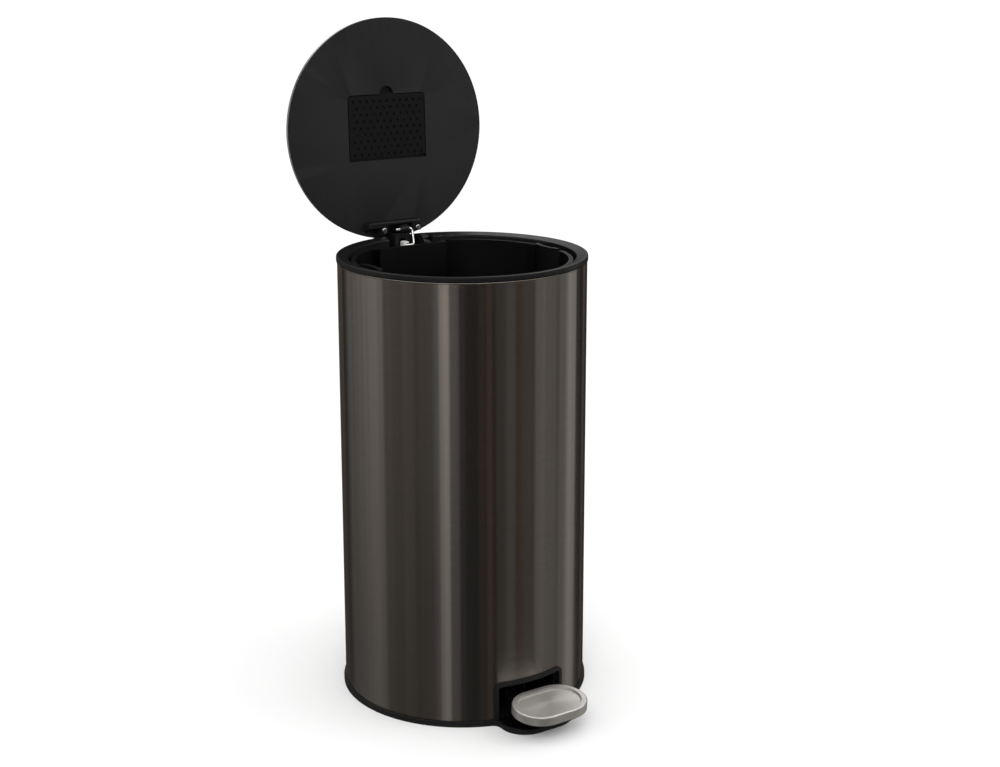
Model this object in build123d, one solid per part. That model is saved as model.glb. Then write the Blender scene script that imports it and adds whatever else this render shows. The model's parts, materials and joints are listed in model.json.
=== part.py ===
from build123d import *
import math
import os

# A round pedal bin with its lid open. Millimetres, +Z up, origin on the floor at the body's axis.
# The pedal faces -Y and the lid hinge is at +Y.

# ---- Body, collar and base ----
SHELL_R = 145.0
SHELL_WALL = 0.6
SHELL_TOP = 518.0
COLLAR_R = 146.0
COLLAR_TOP = 525.0
COLLAR_MOUTH_R = 132.3
COLLAR_MOUTH_Z = 522.3
COLLAR_SKIRT_Z = 505.0
BASE_R = 147.3
BASE_LIP = 6.3
BASE_FLOOR = 4.0
SPIGOT_R = 144.1
SPIGOT_WALL = 2.5
SPIGOT_TOP = 22.0
TONGUE_HALF_WIDTH = 45.0
TONGUE_FRONT_Y = -182.5
TONGUE_CORNER_R = 30.0
TONGUE_FLARE_R = 10.0
TONGUE_RIM = 2.6
TONGUE_FLOOR = 3.4
BASE_EDGE_R = 1.2
UNDERSIDE_R = 124.0
UNDERSIDE_DEPTH = 1.5
UNDERSIDE_BOSS_R = 16.0
UNDERSIDE_RIB = 4.0
FULCRUM_HOLE_R = 2.1

# ---- Bezel round the pedal slot ----
BEZEL_HALF_WIDTH = 47.5
BEZEL_TOP = 51.0
BEZEL_FACE_R = 146.8
BEZEL_FRAME = 4.8
BEZEL_CORNER_R = 9.0
TUNNEL_WALL = 1.7
TUNNEL_BACK_R = 141.0

# ---- Platform that the bucket stands on ----
PLATFORM_R = 140.0
PLATFORM_WALL = 2.4
PLATFORM_TOP = 48.5

# ---- Inner bucket ----
BUCKET_WALL = 2.0
BUCKET_BOTTOM = 48.9
BUCKET_BOTTOM_R = 112.0
BUCKET_TOP_R = 125.5
BUCKET_RIM_Z = 518.5
BUCKET_RIM_WIDTH = 3.0
BUCKET_RIM_THICK = 2.4
BUCKET_BACK_Y = 104.5
BUCKET_BACK_X = (-50.0, 41.0)
BUCKET_BACK_FOOT = 452.0
GRIP_DEPTH_R = 116.0
GRIP_R = 57.0
GRIP_FOOT = 430.0
GRIP_RISE = 2.5
BUCKET_CORNER_R = 6.0

# ---- Lid, modelled closed and then swung open about the hinge ----
HINGE_Y = 147.4
HINGE_Z = 506.0
LID_OPEN = 92.0
LID_UNDER = 523.6
LID_TOP = 531.1
LID_R = 134.7
LID_CAP_R = 134.4
LID_SHEET = 0.6
LINER_PLATE = 2.2
LINER_LIP = 1.4
PANEL_X = 54.2
PANEL_FAR_Y = -42.9
PANEL_NEAR_Y = 37.2
PANEL_GAP = 1.1
PANEL_SLOT = 3.7
PANEL_THICK = 1.8
PANEL_CORNER_R = 6.0
NOTCH_R = 9.5
POCKET_WALL = 1.8
POCKET_TOP = 530.3
POCKET_FLOOR = 529.4
HOLE_D = 3.6
HOLE_PITCH = 9.29
HOLE_ROW_PITCH = 8.03
HOLE_FIRST_Y = -34.5
HOLE_ROWS = 9
FLAP_AXIS_Y = 32.6
FLAP_AXIS_Z = 524.7

# ---- Hinge bracket on the lid, hinge pin and rear housing ----
BRACKET_X = (-38.0, 36.0)
BRACKET_FRONT_Y = 112.4
BRACKET_BACK_R = 130.5
BRACKET_FACE = 508.6
RECESS_X = (-12.0, 22.5)
LID_SCREW_X = (-17.0, 30.5)
LID_SCREW_Y = 122.6
ARM_X = ((-7.0, -1.0), (7.5, 14.5))
ARM_LOW = 501.5
ARM_HIGH = 515.0
PIN_R = 2.5
RUNNING = 0.06
GAP_X = (-22.6, 26.0)
GAP_FOOT = 488.0
RELIEF_END_X = 36.8
RELIEF_R = 20.7
BRACKET_SWING_R = 21.4
BRACKET_LEFT_SWING_R = 28.8
HOUSING_X = (-30.0, 36.0)
HOUSING_Y = (141.0, 161.0)
HOUSING_Z = (452.0, 522.0)
HOUSING_SWING_R = 20.9
HOUSING_WALL = 3.5
HOUSING_CORNER_R = 5.0
PIN_X = (HOUSING_X[0] + 3, HOUSING_X[1] - 3)
HOUSING_SCREWS = [(x, z) for x in (HOUSING_X[0] + 6, HOUSING_X[1] - 6) for z in (466, 494)]
HOUSING_SCREW_R = 1.5

# ---- Wire link and push rod ----
WIRE_R = 1.8
WIRE_BEND = 4.0
LINK_TOP = (122.43, 504.73)
LINK_TOP_X = (-4.0, 19.0)
LINK_FOOT = (139.0, 512.0)
LINK_FOOT_X = (3.4, 17.4)
BUSH_X = (3.0, 14.0)
BUSH_R = 4.0
ROD_X = 3.0
ROD_Y = 137.0
ROD_R = 2.5
HEAD_X = (-0.6, 6.6)
HEAD_Y = (132.6, 142.0)
HEAD_Z = (488.0, 517.4)
HEAD_SLOT_BELOW = 0.6
HEAD_SLOT_ABOVE = 1.9
ROD_SOCKET = 12.0
FOOT_R = 6.0
FOOT_Z = (39.8, 54.0)
FOOT_SOCKET = 8.0
GUIDE_Z = (160.0, 405.0)

# ---- Pedal lever, modelled level and then tilted about the fulcrum ----
FULCRUM_Y = -70.0
FULCRUM_Z = 22.0
FULCRUM_SCREWS = [(x, y) for x in (-21, 21) for y in (FULCRUM_Y - 15, FULCRUM_Y + 15)]
FULCRUM_SCREW_R = 2.0
PEDAL_TILT = 4.5
PEDAL_LENGTH = 91.3
PEDAL_WIDTH = 63.0
PEDAL_Y = -179.9
PEDAL_SCREW_Y = (PEDAL_Y - 12, PEDAL_Y + 12)
PEDAL_SCREW_R = 2.0
PEDAL_TOP = 44.2
PEDAL_SIDE = 10.6
PEDAL_RIM = 7.0
PEDAL_DISH = 2.4
PEDAL_SHEET = 1.2
PEDAL_CORE_INSET = 3.5
PEDAL_CORE_DROP = 3.0
LEVER_THICK = 3.0
LEVER_HALF_WIDTH = 13.5
LEVER_Z = 17.5
LEVER_STEP_Y = (-140.0, -118.0)
LEVER_REAR_Y = 134.0
LEVER_FLANGE = 9.0
FULCRUM_PIN_R = 3.0
TIP_TOP = 23.4


# ---- Helpers ----
def block(x, y, z):
    """A box between (low, high) pairs along each axis."""
    size = [high - low for low, high in (x, y, z)]
    middle = [(high + low) / 2 for low, high in (x, y, z)]
    return Pos(*middle) * Box(*size)


def post(radius, x, y, z):
    """A vertical cylinder at x, y over the (low, high) pair z."""
    return Pos(x, y, (z[0] + z[1]) / 2) * Cylinder(radius, z[1] - z[0])


def bar(radius, x, y, z):
    """A cylinder along X over the (low, high) pair x, at y, z."""
    return Pos((x[0] + x[1]) / 2, y, z) * Rot(0, 90, 0) * Cylinder(radius, x[1] - x[0])


def tube(outer, inner, z):
    """A pipe about the Z axis."""
    return post(outer, 0, 0, z) - post(inner, 0, 0, (z[0] - 1, z[1] + 1))


def turned(points, rounds=()):
    """A solid of revolution from a closed outline of (radius, z) points; rounds are (radius, points)."""
    outline = make_face(Polyline(*points, close=True))
    for radius, spots in rounds:
        picked = [
            corner
            for corner in outline.vertices()
            if any(math.hypot(corner.X - x, corner.Y - y) < 0.01 for x, y in spots)
        ]
        outline = fillet(picked, radius)
    return revolve(Plane.XZ * outline, axis=Axis.Z)


def prism(sketch, z):
    """A flat sketch raised over the (low, high) pair z."""
    return Pos(0, 0, z[0]) * extrude(sketch, amount=z[1] - z[0])


def swung(shape, y, z, degrees):
    """A shape turned about the line along X through y, z."""
    return Pos(0, y, z) * Rot(degrees, 0, 0) * Pos(0, -y, -z) * shape


def opened(shape):
    """A lid piece, modelled closed, at the open rest pose."""
    return swung(shape, HINGE_Y, HINGE_Z, -LID_OPEN)


def pressed(shape):
    """A pedal piece, modelled level, at the pressed rest pose."""
    return swung(shape, FULCRUM_Y, FULCRUM_Z, PEDAL_TILT)


def pan_screw(x, y, z, head_r, head_h, shank_r, length, up):
    """A pan-head screw with its seat at z and its shank running up or down from there."""
    way = 1 if up else -1
    head_span = sorted((z, z - way * head_h))
    shank_span = sorted((z, z + way * length))
    head = post(head_r, x, y, head_span)
    outer_z = z - way * head_h
    rim = [edge for edge in head.edges() if abs(edge.center().Z - outer_z) < 0.01]
    head = fillet(rim, min(head_h * 0.6, head_r * 0.6))
    slot = block((x - head_r, x + head_r), (y - 0.35, y + 0.35), (outer_z - 0.7, outer_z + 0.7))
    cross = block((x - 0.35, x + 0.35), (y - head_r, y + head_r), (outer_z - 0.7, outer_z + 0.7))
    drive = (slot + cross) & post(head_r * 0.55, x, y, (outer_z - 0.7, outer_z + 0.7))
    return head + post(shank_r, x, y, shank_span) - drive


def joined(solids):
    """Separate solids kept in one node."""
    return Compound(children=[piece for solid in solids for piece in solid.solids()])


# ---- Body ----
def base_ring():
    tongue_length = 90.0
    tongue = Pos(0, TONGUE_FRONT_Y + tongue_length / 2) * Rectangle(2 * TONGUE_HALF_WIDTH, tongue_length)
    front = [corner for corner in tongue.vertices() if corner.Y < TONGUE_FRONT_Y + 1]
    tongue = fillet(front, TONGUE_CORNER_R)
    outline = Circle(BASE_R) + tongue
    waist = [
        corner
        for corner in outline.vertices()
        if abs(abs(corner.X) - TONGUE_HALF_WIDTH) < 0.5 and corner.Y > TONGUE_FRONT_Y + 35
    ]
    outline = fillet(waist, TONGUE_FLARE_R)
    body = prism(outline, (0, BASE_LIP))
    rim = body.faces().sort_by(Axis.Z)[-1].outer_wire().edges()
    body = fillet(rim, BASE_EDGE_R)

    tray = offset(outline, -TONGUE_RIM) & (Pos(0, -165) * Rectangle(2 * TONGUE_HALF_WIDTH - 7, 60))
    body -= prism(tray, (TONGUE_FLOOR, BASE_LIP + 1))
    body -= post(SPIGOT_R - SPIGOT_WALL, 0, 0, (BASE_FLOOR, BASE_LIP + 1))
    spigot = tube(SPIGOT_R, SPIGOT_R - SPIGOT_WALL, (BASE_LIP - 1.5, SPIGOT_TOP))
    spigot -= block((-BEZEL_HALF_WIDTH, BEZEL_HALF_WIDTH), (-160, -100), (BASE_FLOOR - 1, SPIGOT_TOP + 1))
    spigot -= block((ROD_X - 11, ROD_X + 11), (120, 160), (BASE_FLOOR - 1, SPIGOT_TOP + 1))
    body += spigot

    recess = tube(UNDERSIDE_R, UNDERSIDE_BOSS_R, (-1, UNDERSIDE_DEPTH))
    rib = block((-BASE_R, BASE_R), (-UNDERSIDE_RIB / 2, UNDERSIDE_RIB / 2), (-2, 2))
    for turn in range(15, 180, 30):
        recess -= Rot(0, 0, turn) * rib
    body -= recess
    for x, y in FULCRUM_SCREWS:
        body -= post(FULCRUM_HOLE_R, x, y, (UNDERSIDE_DEPTH + 0.4, 10))
    return body


def outer_shell():
    inner = SHELL_R - SHELL_WALL
    wall = tube(SHELL_R, inner, (BASE_LIP, SHELL_TOP))
    bead = Pos(0, 0, SHELL_TOP - 0.3) * Torus(SHELL_R - 0.3, 0.9)
    shell = wall + (bead - post(inner, 0, 0, (SHELL_TOP - 5, SHELL_TOP + 5)))
    slot = BEZEL_HALF_WIDTH - BEZEL_FRAME + TUNNEL_WALL + 0.3
    slot_top = BEZEL_TOP - BEZEL_FRAME + TUNNEL_WALL + 0.3
    shell -= block((-slot, slot), (-160, -120), (BASE_LIP - 1, slot_top))
    shell -= block(GAP_X, (120, 160), (GAP_FOOT, SHELL_TOP + 5))
    return shell


def top_ring():
    ring = turned(
        [
            (COLLAR_R, 519.3),
            (COLLAR_R, COLLAR_TOP),
            (COLLAR_R - 3.6, COLLAR_TOP),
            (COLLAR_MOUTH_R, COLLAR_MOUTH_Z),
            (COLLAR_MOUTH_R, 512.0),
            (COLLAR_MOUTH_R + 1.8, 512.0),
            (COLLAR_MOUTH_R + 1.8, 519.8),
            (SHELL_R - SHELL_WALL - 2.4, 521.0),
            (SHELL_R - SHELL_WALL - 2.4, COLLAR_SKIRT_Z),
            (SHELL_R - SHELL_WALL - 0.3, COLLAR_SKIRT_Z),
            (SHELL_R - SHELL_WALL - 0.3, 519.3),
        ],
        rounds=(
            (1.7, [(COLLAR_R, COLLAR_TOP), (COLLAR_R - 3.6, COLLAR_TOP)]),
            (1.4, [(COLLAR_MOUTH_R, COLLAR_MOUTH_Z)]),
        ),
    )
    ring -= block(GAP_X, (110, 160), (COLLAR_SKIRT_Z - 1, COLLAR_TOP + 1))
    relief_x = (GAP_X[1] - 1, RELIEF_END_X)
    relief = block(relief_x, (110, HINGE_Y), (COLLAR_SKIRT_Z - 1, COLLAR_TOP + 1))
    return ring - (relief - bar(RELIEF_R, relief_x, HINGE_Y, HINGE_Z))


def pedal_bezel():
    def arch(half_width, top, corner):
        sketch = Pos(0, (BASE_LIP + top) / 2) * Rectangle(2 * half_width, top - BASE_LIP)
        upper = [v for v in sketch.vertices() if v.Y > top - 1]
        sketch = fillet(upper, corner)
        return Pos(0, -110, 0) * Rot(90, 0, 0) * extrude(sketch, amount=60)

    opening = arch(BEZEL_HALF_WIDTH - BEZEL_FRAME, BEZEL_TOP - BEZEL_FRAME, BEZEL_CORNER_R - 5)
    neck = arch(
        BEZEL_HALF_WIDTH - BEZEL_FRAME + TUNNEL_WALL,
        BEZEL_TOP - BEZEL_FRAME + TUNNEL_WALL,
        BEZEL_CORNER_R - 4,
    )
    flange = arch(BEZEL_HALF_WIDTH, BEZEL_TOP, BEZEL_CORNER_R)
    flange &= tube(BEZEL_FACE_R, SHELL_R + 0.05, (0, 60))
    neck &= tube(BEZEL_FACE_R, TUNNEL_BACK_R, (0, 60))
    return flange + neck - opening


def bucket_platform():
    cup = turned(
        [
            (0, PLATFORM_TOP - PLATFORM_WALL),
            (PLATFORM_R - PLATFORM_WALL, PLATFORM_TOP - PLATFORM_WALL),
            (PLATFORM_R - PLATFORM_WALL, BASE_FLOOR),
            (PLATFORM_R, BASE_FLOOR),
            (PLATFORM_R, PLATFORM_TOP),
            (0, PLATFORM_TOP),
        ],
        rounds=((2.0, [(PLATFORM_R, PLATFORM_TOP)]),),
    )
    cup -= block((-38, 38), (-160, -100), (0, PLATFORM_TOP - PLATFORM_WALL - 1))
    cup -= block((ROD_X - 12, ROD_X + 12), (118, 160), (0, PLATFORM_TOP + 1))
    return cup


def hinge_housing():
    outer = block(HOUSING_X, HOUSING_Y, HOUSING_Z)
    rear = [e for e in outer.edges() if e.center().Y > HOUSING_Y[1] - 0.1]
    outer = fillet(rear, HOUSING_CORNER_R)
    crown = block(HOUSING_X, (120, HOUSING_Y[1] + 1), (HINGE_Z + 8, HOUSING_Z[1] + 1))
    outer -= crown - bar(HOUSING_SWING_R, HOUSING_X, HINGE_Y, HINGE_Z)
    outer -= post(SHELL_R + 0.1, 0, 0, (400, 530))
    outer -= tube(COLLAR_R + 2, COLLAR_R - 4, (COLLAR_SKIRT_Z + 13.9, 530))
    outer -= block(GAP_X, (120, HOUSING_Y[1] - HOUSING_WALL), (GAP_FOOT + 2, 530))
    hollow = block(
        (HOUSING_X[0] + 12, HOUSING_X[1] - 12),
        (120, HOUSING_Y[1] - HOUSING_WALL),
        (HOUSING_Z[0] + HOUSING_WALL, 485),
    )
    outer -= hollow
    outer -= bar(PIN_R, PIN_X, HINGE_Y, HINGE_Z)
    for x, z in HOUSING_SCREWS:
        outer -= Pos(x, 148, z) * Rot(90, 0, 0) * Cylinder(HOUSING_SCREW_R + 0.05, 14)
    return outer


def hinge_pin():
    return bar(PIN_R, PIN_X, HINGE_Y, HINGE_Z)


def housing_screws():
    solids = []
    for x, z in HOUSING_SCREWS:
        seat = -math.sqrt((SHELL_R - SHELL_WALL) ** 2 - (abs(x) + 3.2) ** 2)
        screw = pan_screw(0, 0, 0, 3.0, 1.6, HOUSING_SCREW_R, 7.5, up=True)
        solids.append(Pos(x, -seat, z) * Rot(-90, 0, 0) * screw)
    return joined(solids)


def shell_with_screw_holes(shell):
    for x, z in HOUSING_SCREWS:
        shell -= Pos(x, 143, z) * Rot(90, 0, 0) * Cylinder(HOUSING_SCREW_R + 0.1, 10)
    return shell


def fulcrum_blocks():
    solids = []
    for side in (-1, 1):
        ear = block((15, 23), (-80, -60), (BASE_FLOOR, 30))
        ear = fillet([e for e in ear.edges().filter_by(Axis.X) if e.center().Z > 29], 7)
        foot = block((15, 27), (-90, -50), (BASE_FLOOR, 8))
        foot = fillet([e for e in foot.edges().filter_by(Axis.Z) if e.center().X > 26], 4)
        block_one = ear + foot - bar(FULCRUM_PIN_R, (10, 30), FULCRUM_Y, FULCRUM_Z)
        for x, y in FULCRUM_SCREWS:
            block_one -= post(FULCRUM_HOLE_R, abs(x), y, (0, 10))
        solids.append(block_one if side > 0 else mirror(block_one, about=Plane.YZ))
    return joined(solids)


def fulcrum_pin():
    pin = bar(FULCRUM_PIN_R, (-24, 24), FULCRUM_Y, FULCRUM_Z)
    return chamfer([e for e in pin.edges() if abs(abs(e.center().X) - 24) < 0.01 and e.length > 10], 0.6)


def fulcrum_screws():
    return joined([pan_screw(x, y, 8, 3.6, 2.0, FULCRUM_SCREW_R, 6.0, up=False) for x, y in FULCRUM_SCREWS])


def rod_guides():
    solids = []
    for low in GUIDE_Z:
        guide = block((ROD_X - 9, ROD_X + 9), (132.5, 142.9), (low, low + 10))
        guide = fillet([e for e in guide.edges().filter_by(Axis.Z) if e.center().Y < 133], 3)
        guide -= post(ROD_R + RUNNING, ROD_X, ROD_Y, (low - 1, low + 11))
        pad = tube(SHELL_R - SHELL_WALL, 140.5, (low - 4, low + 14))
        pad &= block((ROD_X - 12, ROD_X + 12), (130, 150), (low - 5, low + 15))
        solids.append(guide + pad)
    return joined(solids)


def lever_bumper():
    pad = post(7, 0, 110, (BASE_FLOOR, 12.4))
    return fillet([e for e in pad.edges() if e.center().Z > 12], 1.5)


# ---- Inner bucket ----
def bucket_outline(grow):
    """The bucket's top outline, grown outward by grow."""
    outline = Circle(BUCKET_TOP_R)
    low, high = BUCKET_BACK_X
    outline -= Pos((low + high) / 2, BUCKET_BACK_Y + 50) * Rectangle(high - low, 100)
    for side in (-1, 1):
        outline -= Pos(side * (GRIP_DEPTH_R + GRIP_R), 0) * Circle(GRIP_R)
    softened = offset(outline, -BUCKET_CORNER_R)
    return offset(softened, BUCKET_CORNER_R + grow)


def bucket_form(shrink):
    """The filled bucket, smaller by shrink all round."""
    low, high = BUCKET_BACK_X
    height = BUCKET_RIM_Z + 10 - BUCKET_BOTTOM
    slope = (BUCKET_TOP_R - BUCKET_BOTTOM_R) / (BUCKET_RIM_Z - BUCKET_BOTTOM)
    form = Pos(0, 0, BUCKET_BOTTOM + height / 2) * Cone(
        BUCKET_BOTTOM_R - shrink, BUCKET_BOTTOM_R + slope * height - shrink, height
    )
    form &= block((-200, 200), (-200, 200), (BUCKET_BOTTOM + shrink, BUCKET_RIM_Z + 10))
    back_x = (low - shrink, high + shrink)
    form -= block(back_x, (BUCKET_BACK_Y - shrink, 200), (BUCKET_BACK_FOOT - shrink, 600))
    for side in (-1, 1):
        form -= post(GRIP_R + shrink, side * (GRIP_DEPTH_R + GRIP_R), 0, (GRIP_FOOT - shrink, 600))
    return form


def inner_bucket():
    wall = bucket_form(0) - bucket_form(BUCKET_WALL)
    wall &= block((-200, 200), (-200, 200), (0, BUCKET_RIM_Z - BUCKET_RIM_THICK))
    lip = bucket_outline(BUCKET_RIM_WIDTH) - bucket_outline(-BUCKET_WALL)
    bucket = wall + prism(lip, (BUCKET_RIM_Z - BUCKET_RIM_THICK, BUCKET_RIM_Z))
    for side in (-1, 1):
        tab = Pos(side * 120, 0) * Rectangle(30, 44)
        bucket += prism(lip & tab, (BUCKET_RIM_Z - 1, BUCKET_RIM_Z + GRIP_RISE))
    return bucket


# ---- Lid ----
def lid_cap():
    cap = turned(
        [
            (0, LID_TOP),
            (LID_CAP_R, LID_TOP),
            (LID_CAP_R, LID_UNDER + LINER_LIP),
            (LID_CAP_R - LID_SHEET, LID_UNDER + LINER_LIP),
            (LID_CAP_R - LID_SHEET, LID_TOP - LID_SHEET),
            (0, LID_TOP - LID_SHEET),
        ],
        rounds=(
            (1.8, [(LID_CAP_R, LID_TOP)]),
            (1.2, [(LID_CAP_R - LID_SHEET, LID_TOP - LID_SHEET)]),
        ),
    )
    return opened(cap)


def panel_outline(grow):
    """The filter opening's outline with its finger notch, grown by grow."""
    height = PANEL_NEAR_Y - PANEL_FAR_Y
    outline = Pos(0, (PANEL_NEAR_Y + PANEL_FAR_Y) / 2) * Rectangle(2 * PANEL_X + 2 * grow, height + 2 * grow)
    far = [v for v in outline.vertices() if v.Y < 0]
    outline = fillet(far, PANEL_CORNER_R + grow)
    return outline + Pos(0, PANEL_FAR_Y) * Circle(NOTCH_R + grow)


def lid_liner():
    plate = turned(
        [
            (0, LID_UNDER),
            (LID_R, LID_UNDER),
            (LID_R, LID_UNDER + LINER_LIP),
            (LID_CAP_R - LID_SHEET - 0.2, LID_UNDER + LINER_LIP),
            (LID_CAP_R - LID_SHEET - 0.2, LID_TOP - 2.4),
            (LID_CAP_R - LID_SHEET - 2.4, LID_TOP - 2.4),
            (LID_CAP_R - LID_SHEET - 2.4, LID_UNDER + LINER_PLATE),
            (0, LID_UNDER + LINER_PLATE),
        ],
        rounds=((0.5, [(LID_R, LID_UNDER)]),),
    )
    plate += prism(panel_outline(POCKET_WALL), (LID_UNDER + 1, POCKET_TOP))
    plate -= prism(panel_outline(0), (LID_UNDER - 1, POCKET_FLOOR))
    for side in (-1, 1):
        plate -= bar(0.95, sorted((side * (PANEL_X - 1), side * (PANEL_X + 1.3))), FLAP_AXIS_Y, FLAP_AXIS_Z)
    for x in LID_SCREW_X:
        plate += post(4.0, x, LID_SCREW_Y, (LID_UNDER + 1, LID_TOP - 1.6))
        plate -= post(1.6, x, LID_SCREW_Y, (LID_UNDER - 1, LID_TOP - 2.6))
    return opened(plate)


def filter_pad():
    pad = block((-52.5, 52.5), (-41.0, 31.0), (LID_UNDER + 2.8, POCKET_FLOOR - 0.1))
    pad = fillet(pad.edges().filter_by(Axis.Z), 4)
    return opened(pad)


def filter_cover():
    half_width = PANEL_X - PANEL_GAP
    far = PANEL_FAR_Y + PANEL_GAP
    near = PANEL_NEAR_Y - PANEL_SLOT
    outline = Pos(0, (far + near) / 2) * Rectangle(2 * half_width, near - far)
    outline = fillet([v for v in outline.vertices() if v.Y < 0], PANEL_CORNER_R - PANEL_GAP)
    outline += (Pos(0, far + 17) * Circle(20)) & (Pos(0, far - 5) * Rectangle(40, 20))
    for row in range(HOLE_ROWS):
        count = 11 if row % 2 == 0 else 10
        for column in range(count):
            x = (column - (count - 1) / 2) * HOLE_PITCH
            outline -= Pos(x, HOLE_FIRST_Y + row * HOLE_ROW_PITCH) * Circle(HOLE_D / 2)
    cover = prism(outline, (LID_UNDER + 0.2, LID_UNDER + 0.2 + PANEL_THICK))
    for side in (-1, 1):
        peg_x = sorted((side * (half_width - 1), side * (PANEL_X + 1.1)))
        cover += bar(0.88, peg_x, FLAP_AXIS_Y, FLAP_AXIS_Z)
    return opened(cover)


def lid_bracket():
    plate = block(BRACKET_X, (BRACKET_FRONT_Y, 135), (BRACKET_FACE, LID_UNDER))
    front = [e for e in plate.edges().filter_by(Axis.Z) if e.center().Y < BRACKET_FRONT_Y + 1]
    plate = fillet(front, 3)
    face = [e for e in plate.edges() if abs(e.center().Z - BRACKET_FACE) < 0.01 and e.center().Y < 130]
    plate = chamfer(face, 1.6)
    plate &= post(BRACKET_BACK_R, 0, 0, (500, 530))
    plate -= block(RECESS_X, (BRACKET_FRONT_Y + 3.2, 140), (BRACKET_FACE - 1, BRACKET_FACE + 8))
    saddle = block(BUSH_X, (LINK_TOP[0] - 5, LINK_TOP[0] + 5), (LINK_TOP[1], BRACKET_FACE + 9))
    plate += saddle
    for x in LID_SCREW_X:
        boss = post(5.0, x, LID_SCREW_Y, (BRACKET_FACE, BRACKET_FACE + 4))
        plate += boss & post(BRACKET_BACK_R, 0, 0, (500, 530))
        plate -= post(3.7, x, LID_SCREW_Y, (BRACKET_FACE - 1, BRACKET_FACE + 1.2))
        plate -= post(1.6, x, LID_SCREW_Y, (BRACKET_FACE - 1, LID_UNDER + 1))
    plate -= bar(BRACKET_SWING_R, (BRACKET_X[0] - 1, BRACKET_X[1] + 1), HINGE_Y, HINGE_Z)
    plate -= bar(BRACKET_LEFT_SWING_R, (BRACKET_X[0] - 1, GAP_X[0] + 0.8), HINGE_Y, HINGE_Z)
    for x in ARM_X:
        arm = block(x, (127.0, HINGE_Y), (ARM_LOW, ARM_HIGH))
        arm += block(x, (127.0, 130.4), (ARM_LOW, LID_UNDER))
        knuckle_r = HINGE_Z - ARM_LOW
        arm -= block(x, (HINGE_Y - 0.5, 160), (HINGE_Z, ARM_HIGH + 1))
        plate += arm + bar(knuckle_r, x, HINGE_Y, HINGE_Z)
    web = block((ARM_X[0][1] - 1, ARM_X[1][0] + 1), (127.0, 133.6), (ARM_LOW + 1, ARM_HIGH - 1))
    web -= block((2.6, 3.8), (126, 140), (ARM_LOW, ARM_LOW + 3))
    plate += web
    plate -= bar(BUSH_R, (BUSH_X[0] - 1, BUSH_X[1] + 1), *LINK_TOP)
    plate -= bar(PIN_R + RUNNING, (-30, 40), HINGE_Y, HINGE_Z)
    return opened(plate)


def lid_screws():
    seat = BRACKET_FACE + 1.2
    screws = [pan_screw(x, LID_SCREW_Y, seat, 3.3, 2.0, 1.5, 18.4, up=True) for x in LID_SCREW_X]
    return opened(joined(screws))


def link_bush():
    bush = bar(BUSH_R, BUSH_X, *LINK_TOP)
    return opened(bush - bar(WIRE_R + RUNNING, (BUSH_X[0] - 1, BUSH_X[1] + 1), *LINK_TOP))


# ---- Link and push rod ----
def wire_link():
    top = opened(Vertex(0, *LINK_TOP)).center()
    path = FilletPolyline(
        (LINK_TOP_X[0], top.Y, top.Z),
        (LINK_TOP_X[1], top.Y, top.Z),
        (LINK_FOOT_X[1], *LINK_FOOT),
        (LINK_FOOT_X[0], *LINK_FOOT),
        radius=WIRE_BEND,
    )
    section = Plane(origin=(LINK_TOP_X[0], top.Y, top.Z), z_dir=(1, 0, 0)) * Circle(WIRE_R)
    return sweep(section, path=path)


def push_rod():
    return post(ROD_R, ROD_X, ROD_Y, (FOOT_Z[1] - FOOT_SOCKET, HEAD_Z[0] + ROD_SOCKET))


def rod_head():
    head = block(HEAD_X, HEAD_Y, HEAD_Z)
    head = fillet(head.edges().filter_by(Axis.Z), 1.0)
    slot_y = (HEAD_Y[0] - 1, LINK_FOOT[0] + WIRE_R + 0.5)
    slot_z = (LINK_FOOT[1] - WIRE_R - HEAD_SLOT_BELOW, LINK_FOOT[1] + WIRE_R + HEAD_SLOT_ABOVE)
    head -= block((LINK_FOOT_X[0] - 0.6, HEAD_X[1] + 1), slot_y, slot_z)
    return head - post(ROD_R, ROD_X, ROD_Y, (HEAD_Z[0] - 1, HEAD_Z[0] + ROD_SOCKET))


def rod_foot():
    foot = post(FOOT_R, ROD_X, ROD_Y, FOOT_Z)
    foot = fillet([e for e in foot.edges() if e.center().Z < FOOT_Z[0] + 1], 1.5)
    return foot - post(ROD_R, ROD_X, ROD_Y, (FOOT_Z[1] - FOOT_SOCKET, FOOT_Z[1] + 1))


# ---- Pedal ----
def stadium(inset):
    return Pos(0, PEDAL_Y) * SlotOverall(PEDAL_LENGTH - 2 * inset, PEDAL_WIDTH - 2 * inset)


def pedal_plate():
    plate = prism(stadium(0), (PEDAL_TOP - PEDAL_SIDE, PEDAL_TOP))
    plate = fillet([e for e in plate.edges() if e.center().Z > PEDAL_TOP - 0.01], 2.2)
    dish_form = extrude(stadium(PEDAL_RIM + 1.0), amount=PEDAL_DISH + 1, taper=-30)
    dish = Pos(0, 0, PEDAL_TOP - PEDAL_DISH) * dish_form
    plate -= dish
    plate -= prism(stadium(PEDAL_SHEET), (PEDAL_TOP - PEDAL_SIDE - 1, PEDAL_TOP - PEDAL_DISH - PEDAL_SHEET))
    return pressed(plate)


def pedal_core():
    top = PEDAL_TOP - PEDAL_DISH - PEDAL_SHEET
    low = PEDAL_TOP - PEDAL_SIDE
    core = prism(stadium(PEDAL_SHEET), (low + 0.5, top))
    core += prism(stadium(PEDAL_CORE_INSET), (low - PEDAL_CORE_DROP, low + 1))
    for y in PEDAL_SCREW_Y:
        core -= post(PEDAL_SCREW_R + 0.05, 0, y, (low - PEDAL_CORE_DROP - 1, top - 2))
    return pressed(core)


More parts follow.
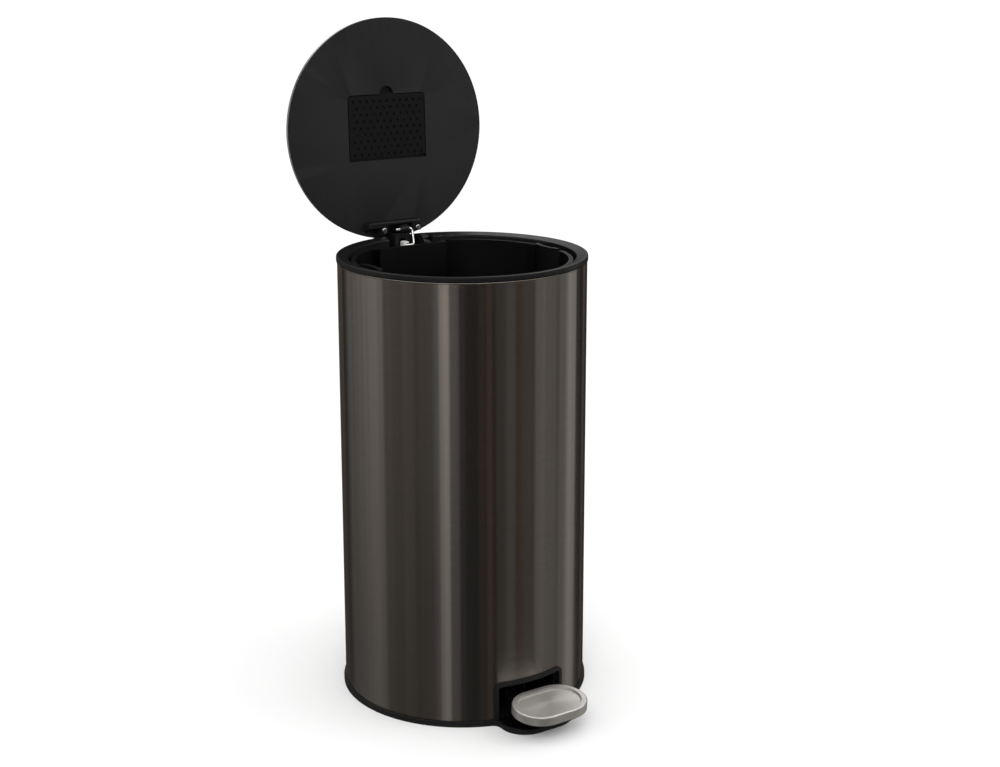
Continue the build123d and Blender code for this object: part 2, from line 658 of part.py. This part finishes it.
def pedal_lever():
    under = PEDAL_TOP - PEDAL_SIDE - PEDAL_CORE_DROP
    front_z = under - LEVER_THICK / 2
    centre = Polyline(
        (-205, front_z), (LEVER_STEP_Y[0], front_z), (LEVER_STEP_Y[1], LEVER_Z), (LEVER_REAR_Y, LEVER_Z)
    )
    profile = trace(centre, line_width=LEVER_THICK)
    strip = Plane(origin=(-LEVER_HALF_WIDTH, 0, 0), x_dir=(0, 1, 0), z_dir=(1, 0, 0)) * profile
    lever = extrude(strip, amount=2 * LEVER_HALF_WIDTH, dir=(1, 0, 0))
    for side in (-1, 1):
        x = sorted((side * LEVER_HALF_WIDTH, side * (LEVER_HALF_WIDTH - 1.6)))
        flange_top = LEVER_Z + LEVER_THICK / 2 + LEVER_FLANGE
        lever += block(x, (LEVER_STEP_Y[1] + 6, LEVER_REAR_Y - 8), (LEVER_Z, flange_top))
    lever -= bar(FULCRUM_PIN_R + RUNNING, (-30, 30), FULCRUM_Y, FULCRUM_Z)
    for y in PEDAL_SCREW_Y:
        lever -= post(PEDAL_SCREW_R + 0.1, 0, y, (front_z - 5, front_z + 5))
    return pressed(lever)


def pedal_screws():
    seat = PEDAL_TOP - PEDAL_SIDE - PEDAL_CORE_DROP - LEVER_THICK
    screws = [pan_screw(0, y, seat, 3.8, 2.0, PEDAL_SCREW_R, 9.0, up=True) for y in PEDAL_SCREW_Y]
    return pressed(joined(screws))


def lever_tip():
    top = LEVER_Z + LEVER_THICK / 2
    tip = block((-8, 10), (LEVER_REAR_Y - 6, LEVER_REAR_Y + 6), (top, TIP_TOP))
    tip = fillet([e for e in tip.edges().filter_by(Axis.X) if e.center().Z > TIP_TOP - 0.1], 2)
    hook = block((-8, 10), (LEVER_REAR_Y, LEVER_REAR_Y + 6), (LEVER_Z - LEVER_THICK / 2, top))
    return pressed(tip + hook)


NODES = {
    "base_ring": base_ring,
    "outer_shell": lambda: shell_with_screw_holes(outer_shell()),
    "top_ring": top_ring,
    "pedal_bezel": pedal_bezel,
    "bucket_platform": bucket_platform,
    "hinge_housing": hinge_housing,
    "hinge_pin": hinge_pin,
    "housing_screws": housing_screws,
    "fulcrum_blocks": fulcrum_blocks,
    "fulcrum_pin": fulcrum_pin,
    "fulcrum_screws": fulcrum_screws,
    "rod_guides": rod_guides,
    "lever_bumper": lever_bumper,
    "inner_bucket": inner_bucket,
    "lid_cap": lid_cap,
    "lid_liner": lid_liner,
    "filter_pad": filter_pad,
    "filter_cover": filter_cover,
    "lid_bracket": lid_bracket,
    "lid_screws": lid_screws,
    "link_bush": link_bush,
    "wire_link": wire_link,
    "push_rod": push_rod,
    "rod_head": rod_head,
    "rod_foot": rod_foot,
    "pedal_plate": pedal_plate,
    "pedal_core": pedal_core,
    "pedal_lever": pedal_lever,
    "pedal_screws": pedal_screws,
    "lever_tip": lever_tip,
}

os.makedirs("parts", exist_ok=True)
for name, make in NODES.items():
    export_step(make(), f"parts/{name}.step")
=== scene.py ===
import json
import math

import bpy
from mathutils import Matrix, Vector

# A round pedal bin with its lid open, in a plain pale studio. Metres, +Z up.
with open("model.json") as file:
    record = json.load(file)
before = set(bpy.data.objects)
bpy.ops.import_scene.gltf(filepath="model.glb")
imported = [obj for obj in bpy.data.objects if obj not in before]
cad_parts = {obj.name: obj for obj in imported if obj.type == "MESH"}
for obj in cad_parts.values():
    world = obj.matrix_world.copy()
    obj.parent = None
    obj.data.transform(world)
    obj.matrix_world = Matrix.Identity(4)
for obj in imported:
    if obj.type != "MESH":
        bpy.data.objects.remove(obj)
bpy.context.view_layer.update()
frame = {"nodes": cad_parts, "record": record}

# ---- Camera ----
CAMERA_POSITION = (-0.9994, -1.5826, 0.8740)
CAMERA_TURN = -33.61
CAMERA_DIP = 13.04
CAMERA_LENS = 59.04
CAMERA_SHIFT = -0.06
CAMERA_NEAR = 0.05
CAMERA_FAR = 50

# ---- Studio ----
FLOOR_COLOUR = (0.975, 0.975, 0.975)
FLOOR_RADIUS = 40.0
WORLD_LEVEL = 1.06
DOME_RADIUS = 3.4
DOME_LIFT = 0.3
DOME_COLUMNS = 720
DOME_ROWS = (-89, -60, -35, -25, -15, -5, 0, 8, 15, 20, 26, 32, 36, 40, 47, 54, 58, 62, 70, 89)
CAMERA_AZIMUTH = -32.3
# Soft lights: name, position, target, width, height and power.
LIGHTS = (
    ("key", (-1.6, -2.2, 2.6), (0, 0, 0.4), 1.6, 1.6, 25),
    ("fill", (2.2, -1.6, 1.8), (0, 0, 0.4), 1.4, 1.8, 12),
)


# ---- Node helpers ----
class Shader:
    """A material under construction, with its Principled shader and short ways to add nodes."""

    def __init__(self, name, colour, roughness, metallic=0.0):
        self.material = bpy.data.materials.new(name)
        self.material.use_nodes = True
        self.nodes = self.material.node_tree.nodes
        self.links = self.material.node_tree.links
        self.principled = self.nodes["Principled BSDF"]
        self.set("Base Color", (*colour, 1))
        self.set("Roughness", roughness)
        self.set("Metallic", metallic)
        self.place = self.nodes.new("ShaderNodeTexCoord").outputs["Object"]

    def set(self, socket, value):
        self.principled.inputs[socket].default_value = value

    def feed(self, socket, source):
        self.links.new(source, self.principled.inputs[socket])

    def math(self, operation, first, second=0.0):
        node = self.nodes.new("ShaderNodeMath")
        node.operation = operation
        for socket, value in zip(node.inputs, (first, second)):
            if isinstance(value, bpy.types.NodeSocket):
                self.links.new(value, socket)
            else:
                socket.default_value = value
        return node.outputs[0]

    def separate(self, vector):
        node = self.nodes.new("ShaderNodeSeparateXYZ")
        self.links.new(vector, node.inputs[0])
        return node.outputs

    def combine(self, x, y, z):
        node = self.nodes.new("ShaderNodeCombineXYZ")
        for socket, value in zip(node.inputs, (x, y, z)):
            if isinstance(value, bpy.types.NodeSocket):
                self.links.new(value, socket)
            else:
                socket.default_value = value
        return node.outputs[0]

    def noise(self, vector, scale, detail=2.0, roughness=0.5):
        node = self.nodes.new("ShaderNodeTexNoise")
        self.links.new(vector, node.inputs["Vector"])
        node.inputs["Scale"].default_value = scale
        node.inputs["Detail"].default_value = detail
        node.inputs["Roughness"].default_value = roughness
        return node.outputs["Fac"]

    def ramp(self, value, low, high, to_low, to_high):
        """value between low and high, mapped to to_low..to_high and held at both ends."""
        node = self.nodes.new("ShaderNodeMapRange")
        self.links.new(value, node.inputs["Value"])
        node.inputs["From Min"].default_value = low
        node.inputs["From Max"].default_value = high
        node.inputs["To Min"].default_value = to_low
        node.inputs["To Max"].default_value = to_high
        return node.outputs["Result"]

    def spread(self, value, to_low, to_high):
        """The middle of a noise pattern, stretched over to_low..to_high."""
        return self.ramp(value, 0.3, 0.7, to_low, to_high)

    def mix(self, amount, first, second):
        node = self.nodes.new("ShaderNodeMix")
        node.data_type = "RGBA"
        self.links.new(amount, node.inputs["Factor"])
        for socket, colour in zip((node.inputs[6], node.inputs[7]), (first, second)):
            if isinstance(colour, bpy.types.NodeSocket):
                self.links.new(colour, socket)
            else:
                socket.default_value = (*colour, 1)
        return node.outputs[2]

    def bump(self, height, strength, distance):
        node = self.nodes.new("ShaderNodeBump")
        self.links.new(height, node.inputs["Height"])
        node.inputs["Strength"].default_value = strength
        node.inputs["Distance"].default_value = distance
        self.feed("Normal", node.outputs["Normal"])

    def edges(self, sharpest=0.56):
        """0 on flat ground and 1 on a worn convex edge."""
        point = self.nodes.new("ShaderNodeNewGeometry").outputs["Pointiness"]
        return self.ramp(point, 0.5, sharpest, 0.0, 1.0)

    def tangent(self, axis):
        node = self.nodes.new("ShaderNodeTangent")
        node.direction_type = "RADIAL"
        node.axis = axis
        self.feed("Tangent", node.outputs["Tangent"])


# ---- Materials ----
SATIN_METALLIC = 0.88
BRUSH_LINES = 1500.0
BRUSH_STRETCH = 0.02
FELT_FIBRES = (600, 600, 2400)


def moulded_plastic(name, colour, worn, roughness, shine, grain, depth):
    """Black moulded plastic: a fine spark-eroded grain, faint flow marks and slightly paler edges."""
    s = Shader(name, colour, roughness)
    s.set("Specular IOR Level", shine)
    fine = s.noise(s.place, grain, 3.0, 0.6)
    patches = s.noise(s.place, 9.0, 3.0, 0.5)
    dust = s.noise(s.place, 60.0, 4.0, 0.6)
    tone = s.mix(s.spread(patches, 0.0, 1.0), colour, tuple(c * 1.25 for c in colour))
    s.feed("Base Color", s.mix(s.math("MULTIPLY", s.edges(), 0.6), tone, worn))
    rough = s.spread(fine, roughness - 0.05, roughness + 0.05)
    rough = s.math("ADD", rough, s.ramp(dust, 0.35, 0.75, -0.03, 0.06))
    s.feed("Roughness", s.math("ADD", rough, s.spread(patches, -0.02, 0.02)))
    s.bump(fine, 0.35, depth)
    return s.material


def body_steel():
    """Dark titanium-tone stainless steel, brushed round the body, so its fine lines run level."""
    s = Shader("dark_brushed_steel", (0.3, 0.27, 0.24), 0.3, 1.0)
    x, y, z = s.separate(s.place)
    turn = s.math("ARCTAN2", x, s.math("MULTIPLY", y, -1.0))
    hair_place = s.combine(s.math("MULTIPLY", turn, 4.0), 0.0, s.math("MULTIPLY", z, 1800.0))
    hair = s.noise(hair_place, 1.0, 3.0, 0.7)
    band_place = s.combine(s.math("MULTIPLY", turn, 1.4), 2.0, s.math("MULTIPLY", z, 240.0))
    bands = s.noise(band_place, 1.0, 3.0, 0.6)
    cloud = s.noise(s.place, 6.0, 3.0, 0.5)
    tint = s.mix(s.spread(hair, 0.0, 1.0), (0.262, 0.24, 0.216), (0.312, 0.286, 0.258))
    s.feed("Base Color", s.mix(s.ramp(bands, 0.35, 0.65, 0.0, 0.35), tint, (0.27, 0.243, 0.214)))
    rough = s.ramp(hair, 0.25, 0.75, 0.14, 0.2)
    s.feed("Roughness", s.math("ADD", rough, s.spread(cloud, -0.012, 0.018)))
    s.set("Anisotropic", 0.98)
    s.set("Anisotropic Rotation", 0.25)
    s.tangent("Z")
    s.bump(s.math("ADD", hair, s.math("MULTIPLY", bands, 0.5)), 0.07, 0.00004)
    return s.material


def straight_brushed_steel(name, dark, light, roughness):
    """Stainless steel with straight brushing along X."""
    s = Shader(name, light, roughness, SATIN_METALLIC)
    stretched = [s.math("MULTIPLY", axis, BRUSH_LINES) for axis in s.separate(s.place)]
    stretched[0] = s.math("MULTIPLY", stretched[0], BRUSH_STRETCH)
    hair = s.noise(s.combine(*stretched), 1.0, 3.0, 0.65)
    patches = s.noise(s.place, 14.0, 4.0, 0.55)
    tint = s.mix(s.spread(hair, 0.0, 1.0), dark, light)
    s.feed("Base Color", s.mix(s.ramp(patches, 0.35, 0.75, 0.0, 0.12), tint, dark))
    rough = s.spread(hair, roughness - 0.03, roughness + 0.03)
    rough = s.math("ADD", rough, s.spread(patches, -0.008, 0.012))
    s.feed("Roughness", s.math("SUBTRACT", rough, s.math("MULTIPLY", s.edges(), 0.08)))
    s.set("Anisotropic", 0.5)
    s.bump(hair, 0.06, 0.00003)
    return s.material


def zinc_plate():
    """Bright zinc plate: nearly smooth, with soft drawn lines and a little cloudiness."""
    s = Shader("zinc_plate", (0.72, 0.73, 0.75), 0.22, 1.0)
    cloud = s.noise(s.place, 120.0, 4.0, 0.6)
    scratches = s.noise(s.place, 900.0, 2.0, 0.6)
    s.feed("Base Color", s.mix(s.spread(cloud, 0.0, 1.0), (0.78, 0.79, 0.81), (0.9, 0.905, 0.91)))
    s.feed("Roughness", s.math("ADD", s.spread(cloud, 0.16, 0.28), s.ramp(scratches, 0.4, 0.7, 0.0, 0.08)))
    s.bump(scratches, 0.1, 0.00004)
    return s.material


def white_acetal():
    s = Shader("white_acetal", (0.82, 0.82, 0.8), 0.38)
    cloud = s.noise(s.place, 90.0, 3.0, 0.5)
    s.feed("Base Color", s.mix(s.spread(cloud, 0.0, 1.0), (0.74, 0.74, 0.71), (0.86, 0.86, 0.84)))
    s.feed("Roughness", s.spread(cloud, 0.32, 0.46))
    s.set("Subsurface Weight", 0.05)
    s.bump(s.noise(s.place, 1500.0, 2.0, 0.5), 0.15, 0.00003)
    return s.material


def rubber():
    s = Shader("black_rubber", (0.02, 0.02, 0.02), 0.75)
    cloud = s.noise(s.place, 140.0, 4.0, 0.6)
    s.feed("Base Color", s.mix(s.spread(cloud, 0.0, 1.0), (0.014, 0.014, 0.014), (0.034, 0.033, 0.032)))
    s.feed("Roughness", s.spread(cloud, 0.66, 0.86))
    s.bump(s.noise(s.place, 1400.0, 3.0, 0.6), 0.4, 0.00008)
    return s.material


def carbon_felt():
    """Needled filter felt, black with carbon: matted fibres and small tufts."""
    s = Shader("carbon_felt", (0.008, 0.008, 0.008), 0.95)
    stretched = [s.math("MULTIPLY", axis, scale) for axis, scale in zip(s.separate(s.place), FELT_FIBRES)]
    fibres = s.noise(s.combine(*stretched), 1.0, 4.0, 0.7)
    tufts = s.noise(s.place, 420.0, 3.0, 0.6)
    s.feed("Base Color", s.mix(s.spread(fibres, 0.0, 1.0), (0.004, 0.004, 0.004), (0.018, 0.018, 0.018)))
    s.feed("Roughness", s.spread(tufts, 0.88, 1.0))
    s.set("Sheen Weight", 0.1)
    s.bump(s.math("ADD", fibres, tufts), 0.6, 0.0003)
    return s.material


def black_coated_steel():
    """Pressed steel under a black coating: satin, faintly orange-peeled, with paler edges."""
    s = Shader("black_coated_steel", (0.006, 0.006, 0.006), 0.5)
    s.set("Specular IOR Level", 0.25)
    cloud = s.noise(s.place, 45.0, 4.0, 0.55)
    tone = s.mix(s.spread(cloud, 0.0, 1.0), (0.004, 0.004, 0.004), (0.008, 0.008, 0.008))
    s.feed("Base Color", s.mix(s.math("MULTIPLY", s.edges(), 0.4), tone, (0.02, 0.02, 0.02)))
    s.feed("Roughness", s.spread(cloud, 0.44, 0.58))
    s.bump(s.noise(s.place, 700.0, 2.0, 0.5), 0.2, 0.00004)
    return s.material


MATERIALS = {
    "black_plastic": moulded_plastic(
        "black_plastic", (0.0032, 0.0032, 0.0034), (0.013, 0.013, 0.013), 0.36, 0.22, 2600.0, 0.00003
    ),
    "lid_plastic": moulded_plastic(
        "lid_plastic", (0.0078, 0.0078, 0.0082), (0.02, 0.02, 0.02), 0.52, 0.2, 2200.0, 0.00004
    ),
    "cover_plastic": moulded_plastic(
        "cover_plastic", (0.0022, 0.0022, 0.0024), (0.009, 0.009, 0.009), 0.5, 0.08, 2200.0, 0.00004
    ),
    # The bucket's black is set darker than the other black plastics: its own black colour, plus painted
    # shade for the deep inside of the bin.
    "bucket_plastic": moulded_plastic(
        "bucket_plastic", (0.0012, 0.0012, 0.0012), (0.006, 0.006, 0.006), 0.48, 0.2, 1800.0, 0.00004
    ),
    "black_steel": black_coated_steel(),
    "dark_steel": body_steel(),
    "lid_steel": straight_brushed_steel("lid_steel", (0.49, 0.48, 0.455), (0.55, 0.54, 0.515), 0.3),
    "satin_steel": straight_brushed_steel("satin_steel", (0.58, 0.56, 0.53), (0.7, 0.68, 0.645), 0.42),
    "zinc_steel": zinc_plate(),
    "white_plastic": white_acetal(),
    "rubber": rubber(),
    "carbon_felt": carbon_felt(),
}


def dress_cad_nodes():
    slots = {part["node"]: part["material_slot"] for part in frame["record"]["subparts"]}
    for name, piece in frame["nodes"].items():
        piece.data.materials.clear()
        piece.data.materials.append(MATERIALS[slots[name]])


# ---- Studio ----
def stage_mesh(name, points, faces, material):
    mesh = bpy.data.meshes.new(name)
    mesh.from_pydata(points, [], faces)
    piece = bpy.data.objects.new(name, mesh)
    bpy.context.scene.collection.objects.link(piece)
    piece.data.materials.append(material)
    return piece


def make_floor():
    s = Shader("pale_floor", FLOOR_COLOUR, 0.8)
    s.set("Specular IOR Level", 0.0)
    cloud = s.spread(s.noise(s.place, 0.7), 0.0, 1.0)
    s.feed("Base Color", s.mix(cloud, FLOOR_COLOUR, tuple(c * 0.985 for c in FLOOR_COLOUR)))
    corners = [
        (FLOOR_RADIUS * math.cos(math.radians(turn)), FLOOR_RADIUS * math.sin(math.radians(turn)), 0)
        for turn in range(0, 360, 6)
    ]
    floor = stage_mesh("floor", corners, [tuple(range(len(corners)))], s.material)
    floor.visible_glossy = False


# What stands round the bin in the studio and shows only as reflections: upright panels, each from one
# azimuth to another in degrees, clockwise from the camera's side, with its level and tint.
WARM = (1.0, 0.92, 0.84)
BROWN = (1.0, 0.62, 0.38)
NEUTRAL = (1.0, 0.97, 0.94)
DARK_LEVEL = 0.02
AMBIENT_LEVEL = 0.02
PANEL_TOP = 15
LOW_FADE_HEIGHT = (-28, -2)
LOW_FADE_LEFT = 0.4
LOW_FADE_GAIN = 0.4
LOW_FADE_TURN = (-20, 40)
PANEL_EDGE = 0.8
PANELS = (
    (-164, -160, 0.16, NEUTRAL),
    (-152, -149, 0.2, BROWN),
    (-146, -142, 0.12, BROWN),
    (-134, -132, 0.16, NEUTRAL),
    (-130, -117, 0.2, NEUTRAL),
    (-117, -101, 0.29, NEUTRAL),
    (-101, -76, 0.42, NEUTRAL),
    (-76, -45, 0.15, WARM),
    (-45, -27, 0.12, WARM),
    (-27, -21, 0.24, NEUTRAL),
    (-21, -12, 0.66, NEUTRAL),
    (-12, -3, 0.22, NEUTRAL),
    (-1, 1, 0.05, WARM),
    (14, 19, 0.035, BROWN),
    (21, 26, 0.07, BROWN),
    (29, 40, 0.06, WARM),
    (40, 48, 0.12, NEUTRAL),
    (48, 56, 0.085, BROWN),
    (56, 68, 0.09, WARM),
    (68, 92, 0.24, NEUTRAL),
    (92, 98, 0.14, NEUTRAL),
    (98, 110, 0.26, NEUTRAL),
    (110, 126, 0.5, NEUTRAL),
    (131, 133, 0.12, BROWN),
    (146, 149, 0.2, BROWN),
)
BACK_LEVEL = 0.7
BACK_HALF_WIDTH = 40
BACK_HEIGHT = (16, 36)
BACK_SIDE_BLEND = 10
BACK_BLEND = 6
OVERHEAD_LEVEL = 2.3
OVERHEAD_FROM = 32
OVERHEAD_TO = 62
OVERHEAD_BLEND = 8


def smooth_step(value, low, high):
    part = min(max((value - low) / (high - low), 0), 1)
    return part * part * (3 - 2 * part)


# Fine upright streaks over the panels: waves per degree of azimuth, phase and depth.
STREAKS = ((0.055, 0.4, 0.1), (0.13, 1.3, 0.09), (0.29, 0.2, 0.08), (0.43, 2.1, 0.06))


def streak(turn):
    return 1 + sum(depth * math.sin(2 * math.pi * waves * turn + phase) for waves, phase, depth in STREAKS)


def reflection_level(turn, height):
    """The studio's brightness towards an azimuth and an elevation, in degrees."""
    level = Vector((DARK_LEVEL,) * 3)
    side = (turn + 180) % 360 - 180
    low_level = LOW_FADE_LEFT + LOW_FADE_GAIN * smooth_step(side, *LOW_FADE_TURN)
    fade = low_level + (1 - low_level) * smooth_step(height, *LOW_FADE_HEIGHT)
    for start, end, strength, tint in PANELS:
        away = abs((turn - (start + end) / 2 + 180) % 360 - 180)
        inside = 1 - smooth_step(away, (end - start - PANEL_EDGE) / 2, (end - start + PANEL_EDGE) / 2)
        level += Vector(tint) * strength * inside * fade
    level *= streak(side) * (1 - smooth_step(height, PANEL_TOP, OVERHEAD_FROM))
    back = 1 - smooth_step(abs(abs(side) - 180), BACK_HALF_WIDTH - BACK_SIDE_BLEND, BACK_HALF_WIDTH)
    back *= smooth_step(height, BACK_HEIGHT[0], BACK_HEIGHT[0] + BACK_BLEND)
    back *= 1 - smooth_step(height, BACK_HEIGHT[1] - BACK_BLEND, BACK_HEIGHT[1])
    overhead = smooth_step(height, OVERHEAD_FROM, OVERHEAD_FROM + OVERHEAD_BLEND)
    overhead *= 1 - smooth_step(height, OVERHEAD_TO - OVERHEAD_BLEND, OVERHEAD_TO)
    return level + Vector((overhead * OVERHEAD_LEVEL + back * BACK_LEVEL + AMBIENT_LEVEL,) * 3)


def make_reflection_dome():
    """A ball of studio surroundings, painted by reflection_level and seen only in reflections."""
    points = []
    faces = []
    levels = []
    for height in DOME_ROWS:
        for step in range(DOME_COLUMNS):
            turn = step * 360 / DOME_COLUMNS
            angle = math.radians(CAMERA_AZIMUTH + turn)
            out = DOME_RADIUS * math.cos(math.radians(height))
            up = DOME_RADIUS * math.sin(math.radians(height)) + DOME_LIFT
            points.append((out * math.sin(angle), -out * math.cos(angle), up))
            levels.append(reflection_level(turn, height))
    for row in range(len(DOME_ROWS) - 1):
        for step in range(DOME_COLUMNS):
            a = row * DOME_COLUMNS + step
            b = row * DOME_COLUMNS + (step + 1) % DOME_COLUMNS
            faces.append((a, b, b + DOME_COLUMNS, a + DOME_COLUMNS))
    material = bpy.data.materials.new("reflection_dome")
    material.use_nodes = True
    nodes = material.node_tree.nodes
    nodes.clear()
    glow = nodes.new("ShaderNodeEmission")
    paint = nodes.new("ShaderNodeVertexColor")
    paint.layer_name = "level"
    material.node_tree.links.new(paint.outputs["Color"], glow.inputs["Color"])
    output = nodes.new("ShaderNodeOutputMaterial")
    material.node_tree.links.new(glow.outputs[0], output.inputs["Surface"])
    dome = stage_mesh("reflection_dome", points, faces, material)
    layer = dome.data.color_attributes.new("level", "FLOAT_COLOR", "POINT")
    layer.data.foreach_set("color", [part for level in levels for part in (*level, 1)])
    dome.visible_camera = False
    dome.visible_diffuse = False
    dome.visible_shadow = False
    dome.visible_transmission = False


def make_world():
    world = bpy.data.worlds.new("studio")
    world.use_nodes = True
    background = world.node_tree.nodes["Background"]
    background.inputs["Color"].default_value = (1, 1, 1, 1)
    background.inputs["Strength"].default_value = WORLD_LEVEL
    bpy.context.scene.world = world


def area_light(name, position, target, width, height, power):
    light = bpy.data.lights.new(name, "AREA")
    light.shape = "RECTANGLE"
    light.size = width
    light.size_y = height
    light.energy = power
    lamp = bpy.data.objects.new(name, light)
    lamp.location = position
    lamp.rotation_euler = (Vector(target) - Vector(position)).to_track_quat("-Z", "Y").to_euler()
    lamp.visible_camera = False
    lamp.visible_glossy = False
    bpy.context.scene.collection.objects.link(lamp)


def make_camera():
    data = bpy.data.cameras.new("camera")
    data.lens = CAMERA_LENS
    data.shift_y = CAMERA_SHIFT
    data.clip_start = CAMERA_NEAR
    data.clip_end = CAMERA_FAR
    camera = bpy.data.objects.new("camera", data)
    camera.location = CAMERA_POSITION
    camera.rotation_euler = (math.radians(90 - CAMERA_DIP), 0, math.radians(CAMERA_TURN))
    bpy.context.scene.collection.objects.link(camera)
    bpy.context.scene.camera = camera


dress_cad_nodes()
make_floor()
make_reflection_dome()
make_world()
for light_facts in LIGHTS:
    area_light(*light_facts)
make_camera()
bpy.context.scene.view_settings.view_transform = "Standard"
